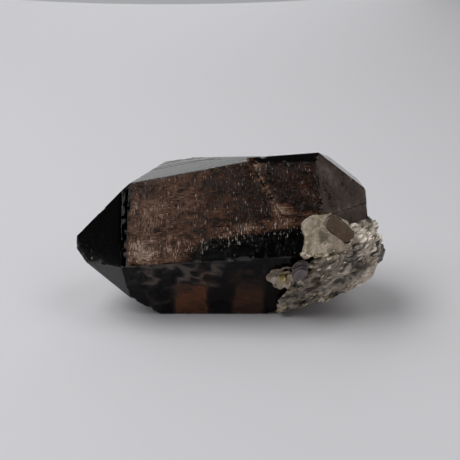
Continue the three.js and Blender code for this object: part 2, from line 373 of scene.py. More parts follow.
def crystal_values(step_tree):
    """A function from a point and its direction to the crystal's painted values there."""

    def values(point, normal):
        p = point - CENTRE / MM
        mixed = list(PLAIN_FACE)
        gloss = 1 - 0.75 * on_face(normal, FRONT_UP) - on_face(normal, FRONT_LOW)
        tip_specks = 0.4 + 0.35 * blob(p, (-33, -9, 15), (5, 9, 6))
        for weight, face in (
            (on_face(normal, FRONT_UP), upper_front(p)),
            (on_face(normal, FRONT_LOW), lower_front(p)),
            (max(on_face(normal, BASE_FRONT), on_face(normal, BASE_TOP)), base_faces(p)),
            (smoothstep(0.25, 0.5, normal.y) * smoothstep(0.8, 0.6, abs(normal.x)), back_faces(p)),
            (on_face(normal, TIP_FRONT), (0.02, tip_specks, 0.97, 0.12)),
        ):
            mixed = [m + (f - m) * weight for m, f in zip(mixed, face)]
        # The notch between the two crystals is painted paler than the faces beside it: partly bruising,
        # partly a painted highlight along its edge.
        step = smoothstep(1.6, 0.1, step_tree.find(point * MM)[2] / MM)
        mixed[0] += 0.35 * step * smoothstep(-0.4, 0.3, lumps(p, 1.4, 3, 6))
        mixed[2] -= 0.5 * step
        gloss -= 0.9 * band(p.x, -27, -23.5, 0.5) * smoothstep(19, 22, p.z)
        gloss -= 0.5 * smoothstep(0.2, 0.4, -normal.z) * smoothstep(0.2, 0.4, -normal.x)
        # Painted light: amber where light would show through the thin lower face.
        amber = on_face(normal, FRONT_LOW) * painted_window_light(p)
        steps = on_face(normal, TOP) * band(p.x, -20, -3, 1)
        cool = 0.6 * max(on_face(normal, face) for face in (BASE_FRONT, BASE_TOP, FRONT_LOW))
        amounts = (*mixed, gloss, amber, steps, cool)
        return {name: min(max(amount, 0), 1) for name, amount in zip(PAINTED, amounts)}

    return values


QUARTZ_IOR = 1.544
DULL_IOR = 1.22


def growth_steps(tree, place):
    """Two low growth steps on the top face: a bowed one and a straighter one that meets it."""
    centred = add_node(tree, "ShaderNodeVectorMath", {0: place, 1: CENTRE}, operation="SUBTRACT").outputs[0]
    axes = add_node(tree, "ShaderNodeSeparateXYZ", {0: centred})
    along = maths(tree, "ADD", maths(tree, "DIVIDE", axes.outputs[0], MM), 12.0)
    across = maths(tree, "DIVIDE", axes.outputs[1], MM)
    bow = maths(tree, "MULTIPLY", maths(tree, "MULTIPLY", along, along), 0.04)
    curved = maths(tree, "ADD", maths(tree, "ADD", across, bow), maths(tree, "MULTIPLY", along, 0.114))
    straight = maths(tree, "SUBTRACT", across, maths(tree, "MULTIPLY", along, 0.094))
    first = spread(tree, curved, 4.3, 5.3)
    second = spread(tree, straight, 2.3, 3.2)
    return maths(tree, "ADD", first, second)


def quartz_material(look):
    """Smoky quartz, natural crystal faces.

    Nearly black glass to the eye, with a brown haze where it is etched. Amber is painted on where it is
    thin, in place of light seen through it, and the white ticks on the etching are painted glints.
    """
    material, tree, shader, place = start_material("smoky_quartz_natural_faces")
    milk, speck = attribute(tree, "milk"), attribute(tree, "speck")
    smoke, etch = attribute(tree, "smoke"), attribute(tree, "etch")
    amber = attribute(tree, "amber")

    # Etch marks run up the face, and in places along it. This tilt lays them on the upper front face.
    tilt = (30, 0, 0)
    upright = grain(tree, turned(tree, place, tilt, (2.2, 1, 0.5)), 0.62, 3, 0.62)
    level = grain(tree, turned(tree, place, tilt, (0.5, 1, 2.0)), 0.7, 3, 0.62)
    swap = spread(tree, grain(tree, place, 3.2, 2), 0.44, 0.56)
    woven = add_node(tree, "ShaderNodeMix", {0: swap, 2: upright, 3: level}).outputs[0]
    sprinkle = grain(tree, turned(tree, place, tilt, (2.6, 1, 0.6)), 0.62, 2, 0.5)
    patches = grain(tree, turned(tree, place, tilt, (0.8, 1, 1.2)), 3.4, 4, 0.62, 0.5)

    # Haze: the painted amount, broken up by patches and by the woven etch marks.
    patchy = maths(tree, "MULTIPLY", maths(tree, "SUBTRACT", patches, 0.5), 3.2)
    row_depth = spread(tree, etch, 0.2, 0.9, 1.2, 4.6)
    rows = maths(tree, "MULTIPLY", maths(tree, "SUBTRACT", woven, 0.5), row_depth)
    uneven = maths(tree, "ADD", maths(tree, "ADD", patchy, rows), 1.0)
    haze = maths(tree, "MULTIPLY", milk, maths(tree, "MAXIMUM", uneven, 0.0))

    # Ticks: painted glints, small bright marks on the etching, thicker where more are painted.
    cut = spread(tree, speck, 0, 1, 0.84, 0.60)
    tick = spread(tree, maths(tree, "SUBTRACT", sprinkle, cut), 0.0, 0.05)
    fine_cut = spread(tree, speck, 0, 1, 0.88, 0.645)
    streak = spread(tree, maths(tree, "SUBTRACT", woven, fine_cut), 0.0, 0.06)
    mark_strength = spread(tree, patches, 0.3, 0.6, 0.25, 0.85)
    glint_mark = maths(tree, "MULTIPLY", maths(tree, "MAXIMUM", tick, streak), mark_strength)

    clear = mix_colour(tree, smoke, rgba(look.clear_colour), linear("#060302"))
    body = ramp(
        tree,
        haze,
        [(0.0, look.haze_dark), (0.25, look.haze_brown), (0.5, look.haze_grey), (1.0, look.haze_pale)],
    )
    body = mix_colour(tree, attribute(tree, "cool"), body, linear("#595552"))
    solid = spread(tree, haze, 0.0, 0.24, 0.0, 0.95)
    colour = mix_colour(tree, spread(tree, haze, 0.0, 0.05), clear, body)
    # Painted light: a nearly opaque amber colour stands in for light seen through the thin lower part.
    glow = maths(tree, "MULTIPLY", amber, spread(tree, patches, 0.25, 0.75, 1.0, 0.7))
    colour = mix_colour(tree, glow, colour, rgba(look.painted_amber_colour))
    colour = mix_colour(tree, glint_mark, colour, rgba(look.glint_tick_colour))
    tree.links.new(colour, shader.inputs["Base Color"])
    cover = maths(tree, "MAXIMUM", maths(tree, "MAXIMUM", solid, glint_mark), maths(tree, "MULTIPLY", glow, 0.9))
    tree.links.new(maths(tree, "SUBTRACT", 1.0, cover), shader.inputs["Transmission Weight"])
    rough = maths(tree, "ADD", spread(tree, etch, 0, 1, 0.02, 0.2), maths(tree, "MULTIPLY", glint_mark, 0.15))
    tree.links.new(rough, shader.inputs["Roughness"])
    # Etched and shaded faces mirror less, as a lower IOR does. An export may drop this link, so the
    # socket holds quartz's own value too.
    shader.inputs["IOR"].default_value = QUARTZ_IOR
    mirror = spread(tree, attribute(tree, "gloss"), 0, 1, DULL_IOR, QUARTZ_IOR)
    tree.links.new(mirror, shader.inputs["IOR"])

    # Growth lines run round the prism, square to the long axis.
    lines = grain(tree, turned(tree, place, scale=(1, 0.04, 0.04)), 0.9, 3, 0.6)
    lined = bump(tree, lines, 0.03, 0.3)
    normal = bump(tree, growth_steps(tree, place), 0.16, attribute(tree, "steps"), lined)
    relief = maths(tree, "MULTIPLY", maths(tree, "ADD", woven, sprinkle), etch)
    tree.links.new(bump(tree, relief, 0.2, 0.5, normal), shader.inputs["Normal"])

    volume = add_node(
        tree,
        "ShaderNodeVolumeAbsorption",
        {"Color": (*look.volume_colour, 1.0), "Density": look.volume_density},
    )
    tree.links.new(volume.outputs[0], tree.nodes["Material Output"].inputs["Volume"])
    return material


def paint(piece, values):
    """Stores values(position in mm, normal) on the piece's vertices, one attribute for each name."""
    data = piece.data
    painted = [values(v.co / MM, v.normal) for v in data.vertices]
    for name in painted[0]:
        layer = data.attributes.new(name, "FLOAT", "POINT")
        layer.data.foreach_set("value", [row[name] for row in painted])


def grid_cut(mesh, pitch):
    """Cuts a mesh along even planes in X, Y and Z, so that flat faces get points to move."""
    for axis in range(3):
        direction = Vector([float(axis == i) for i in range(3)])
        low = min(v.co[axis] for v in mesh.verts)
        high = max(v.co[axis] for v in mesh.verts)
        at = low + 0.37 * pitch * MM
        while at < high:
            everything = mesh.verts[:] + mesh.edges[:] + mesh.faces[:]
            bmesh.ops.bisect_plane(
                mesh, geom=everything, dist=0.001 * MM, plane_co=direction * at, plane_no=direction
            )
            at += pitch * MM


def edge_tree(mesh, chosen):
    """A search tree of points along the edges that chosen(edge) picks."""
    points, spacing = [], 0.3 * MM
    for edge in mesh.edges:
        if len(edge.link_faces) == 2 and chosen(edge):
            a, b = (v.co.copy() for v in edge.verts)
            steps = max(int((b - a).length / spacing), 1)
            points += [a.lerp(b, i / steps) for i in range(steps + 1)]
    tree = KDTree(len(points))
    for i, point in enumerate(points):
        tree.insert(point, i)
    tree.balance()
    return tree


def build_quartz(look):
    """The crystal: the CAD faces, gently uneven, with growth lines on top and small chips on the edges."""
    mesh = copied("smoky_quartz_crystal")
    bmesh.ops.dissolve_limit(mesh, angle_limit=math.radians(0.3), verts=mesh.verts, edges=mesh.edges)
    crease = math.radians(12)
    edges = edge_tree(mesh, lambda edge: edge.calc_face_angle() > crease)
    steps = edge_tree(mesh, lambda edge: edge.calc_face_angle_signed() < -crease)
    grid_cut(mesh, look.pitch / MM)
    mesh.normal_update()
    floor = LOW.z + 0.05 * MM

    def groove(p):
        """Two thin growth lines that cross the top face."""
        first = p.y - 7.6 + 0.12 * (p.x + 20) * smoothstep(-12, -5, p.x)
        second = p.y - 9.6 + 0.16 * (p.x + 17)
        first_gap = abs(first) + 9 * (1 - band(p.x, -21, -4, 1))
        second_gap = abs(second) + 9 * (1 - band(p.x, -18, -6, 1))
        return smoothstep(0.5, 0.1, min(first_gap, second_gap))

    def relief(point, normal):
        p = point - CENTRE / MM
        near = edges.find(point * MM)[2] / MM
        at_base = on_face(normal, BASE_FRONT) + on_face(normal, BASE_TOP)
        etched = on_face(normal, FRONT_UP) + 0.6 * at_base
        top = on_face(normal, TOP)
        swell = 0.04 * (1 - 0.85 * top) * lumps(p, 8, 2, 1) + 0.06 * etched * lumps(p, 1.6, 3, 3)
        far_from_step = smoothstep(0.6, 1.6, steps.find(point * MM)[2] / MM)
        chip = smoothstep(0.28, 0.7, lumps(p, 3.2, 3, 7)) * smoothstep(0.9, 0.0, near) * far_from_step
        wear = 0.03 * smoothstep(0.35, 0.0, near)
        return swell * smoothstep(0, 0.6, near) - 0.4 * chip - wear - 0.12 * top * groove(p)

    heights = {v: v.co.z for v in mesh.verts if v.co.z < floor}
    push_out(mesh, relief)
    for vertex, height in heights.items():
        vertex.co.z = height
    material = quartz_material(look)
    piece = as_object("smoky_quartz", mesh, material, smooth_angle=14)
    paint(piece, crystal_values(steps))
    return settle(piece, "smoky_quartz", "smoky_quartz_crystal")


# ---- Crust ----
CRUST_SLOPE = math.radians(30)
CM2_PER_M2 = 1e4


def foliated(p, stretch=2.6):
    """A place in coordinates that are squeezed along the crust's layering."""
    q = Matrix.Rotation(CRUST_SLOPE, 3, "Y") @ p
    return Vector((q.x / stretch, q.y / 1.4, q.z))


def crust_height(p):
    """Relief of the crust in millimetres: broad lumps, ridges along the layering and small grains."""
    q = foliated(p)
    ridges = 0.6 - 2 * abs(lumps(q, 1.5, 3, 5))
    return 0.6 * lumps(q, 3.0, 2, 2) + 0.6 * ridges + 0.16 * lumps(p, 0.8, 2, 8) - 0.3


def base_end(tree, place):
    """1 at the crust's outer end, where it is cream, and 0 at the crystal's middle."""
    axes = add_node(tree, "ShaderNodeSeparateXYZ", {0: place})
    return spread(tree, axes.outputs[0], CENTRE.x + 23 * MM, CENTRE.x + 33 * MM)


def crust_material(look):
    """Fine-grained mica and feldspar, broken surface: pale grey-tan grains, with painted shade in the gaps
    between them.
    """
    material, tree, shader, place = start_material("granular_mica_broken")
    layered = turned(tree, place, rotation=(0, 30, 0), scale=(0.45, 0.8, 1.0))
    big = grain(tree, layered, 3.2, detail=5, roughness=0.62, distortion=0.4)
    small = grain(tree, layered, 0.7, detail=4, roughness=0.6)
    hollow_shade = attribute(tree, "hollow_shade")
    body = ramp(
        tree,
        big,
        [(0.28, look.crust_dark), (0.43, look.crust_mid), (0.58, look.crust_light), (0.74, look.crust_pale)],
    )
    body = mix_colour(tree, spread(tree, small, 0.35, 0.62, 0.6, 0.0), body, linear("#3b332b"))
    body = mix_colour(tree, maths(tree, "MULTIPLY", base_end(tree, place), 0.75), body, linear("#dccdbb"))
    stain = spread(tree, grain(tree, place, 4.2, detail=3), 0.55, 0.68, 0.0, 0.5)
    stain = maths(tree, "MULTIPLY", stain, attribute(tree, "green"))
    body = mix_colour(tree, stain, body, linear("#948754"))
    # Painted shade: the crust's low spots are darkened nearly to black.
    colour = mix_colour(tree, maths(tree, "MULTIPLY", hollow_shade, 0.9), body, linear("#1a140f"))
    tree.links.new(colour, shader.inputs["Base Color"])
    tree.links.new(spread(tree, small, 0.3, 0.7, 0.85, 0.42), shader.inputs["Roughness"])
    shader.inputs["IOR"].default_value = 1.56
    normal = bump(tree, small, 0.25, 0.6)
    tree.links.new(bump(tree, big, 0.5, 0.4, normal), shader.inputs["Normal"])
    return material


def flake_material():
    """Muscovite mica, cleaved leaves: pale silvery tan with a pearly sheen."""
    material, tree, shader, place = start_material("muscovite_cleaved_leaf")
    outer = base_end(tree, place)
    tone = maths(tree, "ADD", grain(tree, place, 1.2, detail=3), maths(tree, "MULTIPLY", outer, 0.1))
    fine = grain(tree, place, 0.5, detail=3)
    stain = spread(tree, grain(tree, place, 4.2, detail=3), 0.42, 0.62, 0.0, 0.55)
    stain = maths(tree, "MULTIPLY", stain, maths(tree, "SUBTRACT", 1.0, outer))
    colour = ramp(tree, tone, [(0.38, "#463c31"), (0.49, "#ab9c88"), (0.6, "#f2e8da")])
    colour = mix_colour(tree, stain, colour, linear("#94854e"))
    tree.links.new(colour, shader.inputs["Base Color"])
    tree.links.new(spread(tree, fine, 0.3, 0.7, 0.5, 0.28), shader.inputs["Roughness"])
    tree.links.new(bump(tree, fine, 0.08, 0.5), shader.inputs["Normal"])
    shader.inputs["IOR"].default_value = 1.58
    shader.inputs["Sheen Weight"].default_value = 0.15
    return material


def flake_tree(material):
    """Scatters uneven six-sided flakes over a surface, lying along the crust's layering."""
    tree = bpy.data.node_groups.new("mica_flakes", "GeometryNodeTree")
    face = tree.interface
    face.new_socket("Geometry", in_out="INPUT", socket_type="NodeSocketGeometry")
    for name, default in (("Density", 1.0), ("Flake Radius", 1.0 * MM), ("Flake Thickness", 0.2 * MM)):
        socket = face.new_socket(name, in_out="INPUT", socket_type="NodeSocketFloat")
        socket.default_value = default
    face.new_socket("Seed", in_out="INPUT", socket_type="NodeSocketInt")
    face.new_socket("Geometry", in_out="OUTPUT", socket_type="NodeSocketGeometry")
    given = add_node(tree, "NodeGroupInput").outputs
    growing = add_node(tree, "GeometryNodeInputNamedAttribute", {"Name": "flaky"}, data_type="FLOAT")
    density = add_node(
        tree, "ShaderNodeMath", {0: given["Density"], 1: growing.outputs[0]}, operation="MULTIPLY"
    )
    points = add_node(
        tree,
        "GeometryNodeDistributePointsOnFaces",
        {"Mesh": given["Geometry"], "Density": density.outputs[0], "Seed": given["Seed"]},
    )
    flake = add_node(
        tree,
        "GeometryNodeMeshCylinder",
        {"Vertices": 6, "Radius": given["Flake Radius"], "Depth": given["Flake Thickness"]},
    )
    turn = add_node(
        tree,
        "FunctionNodeRandomValue",
        {0: (-0.6, -CRUST_SLOPE - 0.3, -0.4), 1: (0.6, -CRUST_SLOPE + 0.3, 0.4), "Seed": given["Seed"]},
        data_type="FLOAT_VECTOR",
    )
    size = add_node(
        tree,
        "FunctionNodeRandomValue",
        {0: (0.45, 0.4, 0.6), 1: (1.2, 0.95, 1.4), "Seed": given["Seed"]},
        data_type="FLOAT_VECTOR",
    )
    placed = add_node(
        tree,
        "GeometryNodeInstanceOnPoints",
        {
            "Points": points.outputs["Points"],
            "Instance": flake.outputs["Mesh"],
            "Rotation": turn.outputs[0],
            "Scale": size.outputs[0],
        },
    )
    real = add_node(tree, "GeometryNodeRealizeInstances", {"Geometry": placed.outputs[0]})
    done = add_node(tree, "GeometryNodeSetMaterial", {"Geometry": real.outputs[0], "Material": material})
    add_node(tree, "NodeGroupOutput", {0: done.outputs[0]})
    return tree


def flake_group():
    """The node tree that scatters flakes, made once."""
    return bpy.data.node_groups.get("mica_flakes") or flake_tree(flake_material())


def grown(name, base, tree, settings):
    """A Geometry Nodes tree run on a base object, as a plain mesh object."""
    step = base.modifiers.new(name, "NODES")
    step.node_group = tree
    for item in tree.interface.items_tree:
        if item.item_type == "SOCKET" and item.in_out == "INPUT" and item.name in settings:
            step[item.identifier] = settings[item.name]
    depsgraph = bpy.context.evaluated_depsgraph_get()
    data = bpy.data.meshes.new_from_object(base.evaluated_get(depsgraph))
    base.modifiers.remove(step)
    data.name = name
    piece = bpy.data.objects.new(name, data)
    bpy.context.scene.collection.objects.link(piece)
    return piece


def crystal_surface():
    """A search tree of the crystal's surface."""
    mesh = copied("smoky_quartz_crystal")
    tree = BVHTree.FromBMesh(mesh)
    mesh.free()
    return tree


def build_crust(look):
    """The crust's granular mass, and the mica flakes that stand on it."""
    crystal = crystal_surface()
    mesh = remeshed(copied("mica_crust"), look.crust_voxel / MM)
    smooth_out(mesh, 2)

    def away(p):
        return crystal.find_nearest(p * MM)[3] / MM

    def relief(p, normal):
        return crust_height(p) * smoothstep(0.45, 1.3, away(p))

    push_out(mesh, relief)
    piece = as_object("mica_crust_grains", mesh, crust_material(look), smooth_angle=60)

    def values(p, normal):
        # Painted shade: how deep a spot lies below the crust's relief.
        hollow_shade = smoothstep(0.1, -0.75, crust_height(p))
        outer = smoothstep(0.8, 1.4, away(p)) * smoothstep(-0.9, -0.4, normal.z)
        green = smoothstep(22, 12, p.x) * smoothstep(14, 6, p.z) + 0.25
        return {"hollow_shade": hollow_shade, "flaky": outer * (1 - 0.8 * hollow_shade), "green": min(green, 1)}

    paint(piece, values)
    flakes = grown(
        "mica_flakes",
        piece,
        flake_group(),
        {
            "Density": look.flakes_per_cm2 * CM2_PER_M2,
            "Flake Radius": look.flake_radius,
            "Flake Thickness": look.flake_radius * 0.22,
            "Seed": 11,
        },
    )
    settle(flakes, "granular_mica")
    return settle(piece, "granular_mica", "mica_crust")


# ---- Feldspar slab ----
SLAB_VOXEL = 0.28
RIM_FLAKES_PER_CM2 = 260
RIM_FLAKE_RADIUS = 0.75 * MM


def feldspar_material(look):
    """Feldspar, natural cleaved surface: waxy pale tan with whitish ridges."""
    material, tree, shader, place = start_material("feldspar_waxy")
    patches = grain(tree, place, 4.5, detail=4, roughness=0.55, distortion=0.7)
    ridges = maths(tree, "ABSOLUTE", maths(tree, "SUBTRACT", grain(tree, place, 3.4, 3, 0.5, 1.2), 0.5))
    fine = grain(tree, place, 0.6, detail=4)
    colour = ramp(
        tree, patches, [(0.3, look.slab_dark), (0.5, look.slab_mid), (0.68, look.slab_light)]
    )
    vein = spread(tree, ridges, 0.03, 0.0, 0.0, 0.85)
    colour = mix_colour(tree, vein, colour, linear("#cbbda9"))
    colour = mix_colour(tree, spread(tree, fine, 0.3, 0.55, 0.4, 0.0), colour, linear("#4d4236"))
    tree.links.new(colour, shader.inputs["Base Color"])
    tree.links.new(spread(tree, fine, 0.3, 0.7, 0.5, 0.3), shader.inputs["Roughness"])
    shader.inputs["Subsurface Weight"].default_value = 0.12
    shader.inputs["Subsurface Radius"].default_value = (1.0 * MM, 0.7 * MM, 0.5 * MM)
    shader.inputs["IOR"].default_value = 1.53
    normal = bump(tree, patches, 0.5, 0.5)
    tree.links.new(bump(tree, fine, 0.12, 0.5, normal), shader.inputs["Normal"])
    return material


def build_slab(look):
    """The feldspar plate, with a ragged rim, a gently rippled face and flakes along its lower rim."""
    crystal = crystal_surface()
    mesh = remeshed(copied("feldspar_slab"), SLAB_VOXEL)
    smooth_out(mesh, 3)

    def relief(p, normal):
        away = crystal.find_nearest(p * MM)[3] / MM
        ripple = 0.22 * lumps(p, 3.2, 3, 3) + 0.1 * lumps(p, 0.9, 3, 6)
        rim = 1 - abs(normal.dot(FRONT_UP))
        ragged = 0.45 * lumps(p, 1.6, 3, 9) * smoothstep(0.2, 0.7, rim)
        return (ripple + ragged) * smoothstep(0.25, 0.9, away)

    push_out(mesh, relief)
    piece = as_object("feldspar_plate", mesh, feldspar_material(look), smooth_angle=50)

    def rim(p, normal):
        q = p - CENTRE / MM
        return {"flaky": smoothstep(20.6, 19.4, q.z + 0.5 * lumps(q, 2, 2, 5)) * smoothstep(15, 18, q.x)}

    paint(piece, rim)
    flakes = grown(
        "rim_flakes",
        piece,
        flake_group(),
        {
            "Density": RIM_FLAKES_PER_CM2 * CM2_PER_M2,
            "Flake Radius": RIM_FLAKE_RADIUS,
            "Flake Thickness": 0.2 * MM,
            "Seed": 5,
        },
    )
    settle(flakes, "granular_mica")
    return settle(piece, "feldspar", "feldspar_slab")


# ---- Small crystals ----
SMALL_VOXEL = 0.16


def small_quartz_material(name, stops, roughness, clearness):
    """Small quartz crystal, waxy natural faces: a soft brown body that lets a little light in."""
    material, tree, shader, place = start_material(name)
    clouds = grain(tree, place, 1.8, detail=4, roughness=0.6, distortion=0.5)
    fine = grain(tree, place, 0.35, detail=3)
    tree.links.new(ramp(tree, clouds, stops), shader.inputs["Base Color"])
    tree.links.new(spread(tree, fine, 0.3, 0.7, roughness + 0.12, roughness), shader.inputs["Roughness"])
    shader.inputs["Transmission Weight"].default_value = clearness
    shader.inputs["IOR"].default_value = QUARTZ_IOR
    shader.inputs["Coat Weight"].default_value = 0.2
    shader.inputs["Coat Roughness"].default_value = 0.15
    tree.links.new(bump(tree, fine, 0.06, 0.5), shader.inputs["Normal"])
    return material


def soft_crystal(node, name, material, rounding, relief_height):
    """A small crystal with rounded edges and slightly uneven faces."""
    mesh = remeshed(copied(node), SMALL_VOXEL)
    smooth_out(mesh, rounding)
    push_out(mesh, lambda p, normal: relief_height * lumps(p, 1.3, 3, 2) + 0.03 * lumps(p, 0.4, 2, 4))
    return as_object(name, mesh, material, smooth_angle=60)


def build_small_crystals(look):
    """The tan crystal in the feldspar and the grey one at the far end."""
    tan = small_quartz_material(
        "tan_quartz_waxy", [(0.3, "#4d3b2b"), (0.55, "#624d3b"), (0.75, "#735f4b")], 0.3, 0.25
    )
    piece = soft_crystal("tan_crystal", "tan_quartz", tan, 8, 0.05)
    middle = sum((v.co for v in piece.data.vertices), Vector()) / len(piece.data.vertices)
    for vertex in piece.data.vertices:
        offset = vertex.co - middle
        out = offset.dot(FRONT_UP)
        vertex.co += (offset - FRONT_UP * out) * 0.07 - FRONT_UP * max(out - look.tan_stand, 0) * 0.85
    settle(piece, "tan_quartz", "tan_crystal")
    grey = small_quartz_material(
        "grey_quartz_etched", [(0.3, "#2c2622"), (0.5, "#544c46"), (0.7, "#857c74")], 0.32, 0.2
    )
    settle(soft_crystal("end_crystal", "grey_quartz", grey, 5, 0.22), "grey_quartz", "end_crystal")


# ---- Mica leaves ----
def leaf_material(name, stops, heart_colour):
    """Mica book, cleaved leaves: pearly, with a stained heart where one is painted."""
    material, tree, shader, place = start_material(name)
    clouds = grain(tree, place, 1.6, detail=4, roughness=0.6)
    fine = grain(tree, place, 0.3, detail=3)
    colour = mix_colour(tree, attribute(tree, "heart"), ramp(tree, clouds, stops), linear(heart_colour))
    tree.links.new(colour, shader.inputs["Base Color"])
    tree.links.new(spread(tree, fine, 0.3, 0.7, 0.48, 0.3), shader.inputs["Roughness"])
    shader.inputs["Sheen Weight"].default_value = 0.2
    shader.inputs["IOR"].default_value = 1.58
    tree.links.new(bump(tree, fine, 0.06, 0.5), shader.inputs["Normal"])
    return material


def add_leaf(mesh, matrix, outline, thickness, cup):
    """One thin closed leaf: an outline of (x, y), cupped by this much at its rim, in millimetres."""
    rings = (0.34, 0.68, 0.92, 1.0)
    layers = []
    for side in (1, -1):
        centre = mesh.verts.new(matrix @ (Vector((0, 0, side * thickness / 2)) * MM))
        loops = []
        for reach in rings:
            edge = 0.35 if reach == 1.0 else 1.0
            height = cup * reach**2 + side * edge * thickness / 2
            corners = [Vector((x * reach, y * reach, height)) * MM for x, y in outline]
            loops.append([mesh.verts.new(matrix @ corner) for corner in corners])
        layers.append((centre, loops))
    count = len(outline)
    for (centre, loops), flip in zip(layers, (False, True)):
        for i in range(count):
            j = (i + 1) % count
            face = [centre, loops[0][i], loops[0][j]]
            mesh.faces.new(face[::-1] if flip else face)
            for inner, outer in zip(loops, loops[1:]):
                face = [inner[i], outer[i], outer[j], inner[j]]
                mesh.faces.new(face[::-1] if flip else face)
    top, bottom = layers[0][1][-1], layers[1][1][-1]
    for i in range(count):
        j = (i + 1) % count
        mesh.faces.new([top[i], bottom[i], bottom[j], top[j]])


def ragged_outline(radius_x, radius_y, points, unevenness, dice):
    """A closed rough ellipse, in millimetres."""
    phases = [dice.uniform(0, 6.28) for _ in range(3)]
    outline = []
    for i in range(points):
        turn = 2 * math.pi * i / points
        wave = sum(math.sin((n + 2) * turn + phase) / (n + 1) for n, phase in enumerate(phases))
        reach = 1 + unevenness * wave
        outline.append((radius_x * reach * math.cos(turn), radius_y * reach * math.sin(turn)))
    return outline


def face_frame(node, direction):
    """A frame at the middle of a CAD node, with local z along a face's direction and x towards the base."""
    low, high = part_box(node)
    along = (Vector((1, 0, 0)) - direction * direction.x).normalized()
    up = direction.cross(along)
    axes = Matrix((along, up, direction)).transposed().to_4x4()
    return Matrix.Translation((low + high) / 2) @ axes


def build_rosette():
    """A fan of thin mica leaves round a tuft of yellowish ones, facing forwards."""
    dice = random.Random(3)
    facing = face_frame("mica_rosette", face_direction(188, 6))
    middle = Matrix.Translation(Vector((0.5, 0, 0.7)) * MM) @ facing
    mesh = bmesh.new()
    petals, sheets, blades = 6, 3, 16
    for petal in range(petals):
        turn = 2 * math.pi * (petal + 0.3 * dice.random()) / petals
        for sheet in range(sheets):
            size = (1.55 - 0.22 * sheet) * dice.uniform(0.9, 1.15)
            place = (
                middle
                @ Matrix.Rotation(turn + 0.2 * dice.uniform(-1, 1), 4, "Z")
                @ Matrix.Translation(Vector((2.3 - 0.25 * sheet, 0, -0.9 + 0.55 * sheet)) * MM)
                @ Matrix.Rotation(math.radians(dice.uniform(-50, 0)), 4, "Y")
                @ Matrix.Rotation(math.radians(dice.uniform(-30, 30)), 4, "X")
            )
            add_leaf(mesh, place, ragged_outline(size, 0.9 * size, 22, 0.09, dice), 0.13, 0.35)
    for _ in range(blades):
        turn = dice.uniform(0, 2 * math.pi)
        reach = dice.uniform(0.1, 1.3)
        place = (
            middle
            @ Matrix.Rotation(turn, 4, "Z")
            @ Matrix.Translation(Vector((reach, 0, dice.uniform(-0.2, 0.5))) * MM)
            @ Matrix.Rotation(math.radians(dice.uniform(-85, -30)), 4, "Y")
        )
        add_leaf(mesh, place, ragged_outline(0.8, 0.6, 12, 0.1, dice), 0.12, 0.05)
    bmesh.ops.recalc_face_normals(mesh, faces=mesh.faces)
    keep_inside(mesh, "mica_rosette")
    heart = middle.translation
    material = leaf_material(
        "pale_mica_leaves", [(0.3, "#6f6258"), (0.5, "#9c8d7e"), (0.7, "#c6b8a6")], "#b3a05f"
    )
    piece = as_object("mica_rosette_leaves", mesh, material, smooth_angle=40)
    paint(piece, lambda p, normal: {"heart": smoothstep(2.0, 0.7, (p - heart / MM).length)})
    return settle(piece, "pale_mica", "mica_rosette")


def build_book():
    """A stack of violet-grey mica leaves, standing on edge beside the rosette."""
    dice = random.Random(8)
    middle = face_frame("grey_mica_book", FRONT_LOW) @ Matrix.Rotation(math.radians(-16), 4, "Z")
    mesh = bmesh.new()
    sheets, stack_height = 9, 2.3
    for sheet in range(sheets):
        height = stack_height * (sheet / (sheets - 1) - 0.5)
        shift = Vector((0.35 * dice.uniform(-1, 1), 0.35 * dice.uniform(-1, 1), height)) * MM
        tilt = Euler((0.1 * dice.uniform(-1, 1), 0.12 * dice.uniform(-1, 1), dice.uniform(-0.4, 0.4)))
        outline = ragged_outline(1.55, 2.5 * dice.uniform(0.85, 1.02), 22, 0.06, dice)
        add_leaf(mesh, middle @ Matrix.Translation(shift) @ tilt.to_matrix().to_4x4(), outline, 0.26, 0.12)
    bmesh.ops.recalc_face_normals(mesh, faces=mesh.faces)
    keep_inside(mesh, "grey_mica_book")
    material = leaf_material(
        "grey_mica_leaves", [(0.3, "#362c2c"), (0.5, "#564949"), (0.72, "#7a6c6b")], "#564949"
    )
    piece = as_object("grey_mica_leaves", mesh, material, smooth_angle=40)
    return settle(piece, "grey_mica", "grey_mica_book")


def keep_inside(mesh, node):
    """Pulls every vertex into a CAD node's box."""
    low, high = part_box(node)
    for vertex in mesh.verts:
        for axis in range(3):
            vertex.co[axis] = min(max(vertex.co[axis], low[axis]), high[axis])


# ---- Stage ----
SENSOR_WIDTH = 36
# Each soft light's name, turn and rise in degrees, and power in watts.
SOFTBOXES = (
    ("left", -90, 60, 1.6),
    ("front_left", -52, 44, 2.0),
    ("front_right", 50, 34, 0.5),
    ("back_left", -135, 48, 1.0),
    ("back", 180, 38, 0.5),
    ("right", 90, 60, 0.8),
)


def backdrop_mesh(floor):
    """A round paper floor that is flat under the crystal and rises gently all round it."""
    mesh = bmesh.new()
    flat, outer, rise = 0.11, 1.15, 0.24
    spokes, rings = 96, 28
    centre = mesh.verts.new((0, 0, floor))
    turns = [2 * math.pi * i / spokes for i in range(spokes)]
    rows = []
    for ring in range(rings + 1):
        reach = flat + (outer - flat) * ring / rings
        height = floor + rise * ((reach - flat) / (outer - flat)) ** 2
        corners = [(reach * math.cos(t), reach * math.sin(t), height) for t in turns]
        rows.append([mesh.verts.new(corner) for corner in corners])
    for i in range(spokes):
        j = (i + 1) % spokes
        mesh.faces.new([centre, rows[0][i], rows[0][j]])
        for inner, outside in zip(rows, rows[1:]):
            mesh.faces.new([inner[i], outside[i], outside[j], inner[j]])
    return mesh


def paper_material(look):
    """Seamless backdrop paper, matt and pale grey."""
    material, _, shader, _ = start_material("backdrop_paper_matt")
    shader.inputs["Base Color"].default_value = rgba(look.paper_colour)
    shader.inputs["Roughness"].default_value = 0.7
    shader.inputs["Specular IOR Level"].default_value = 0.3
    return material


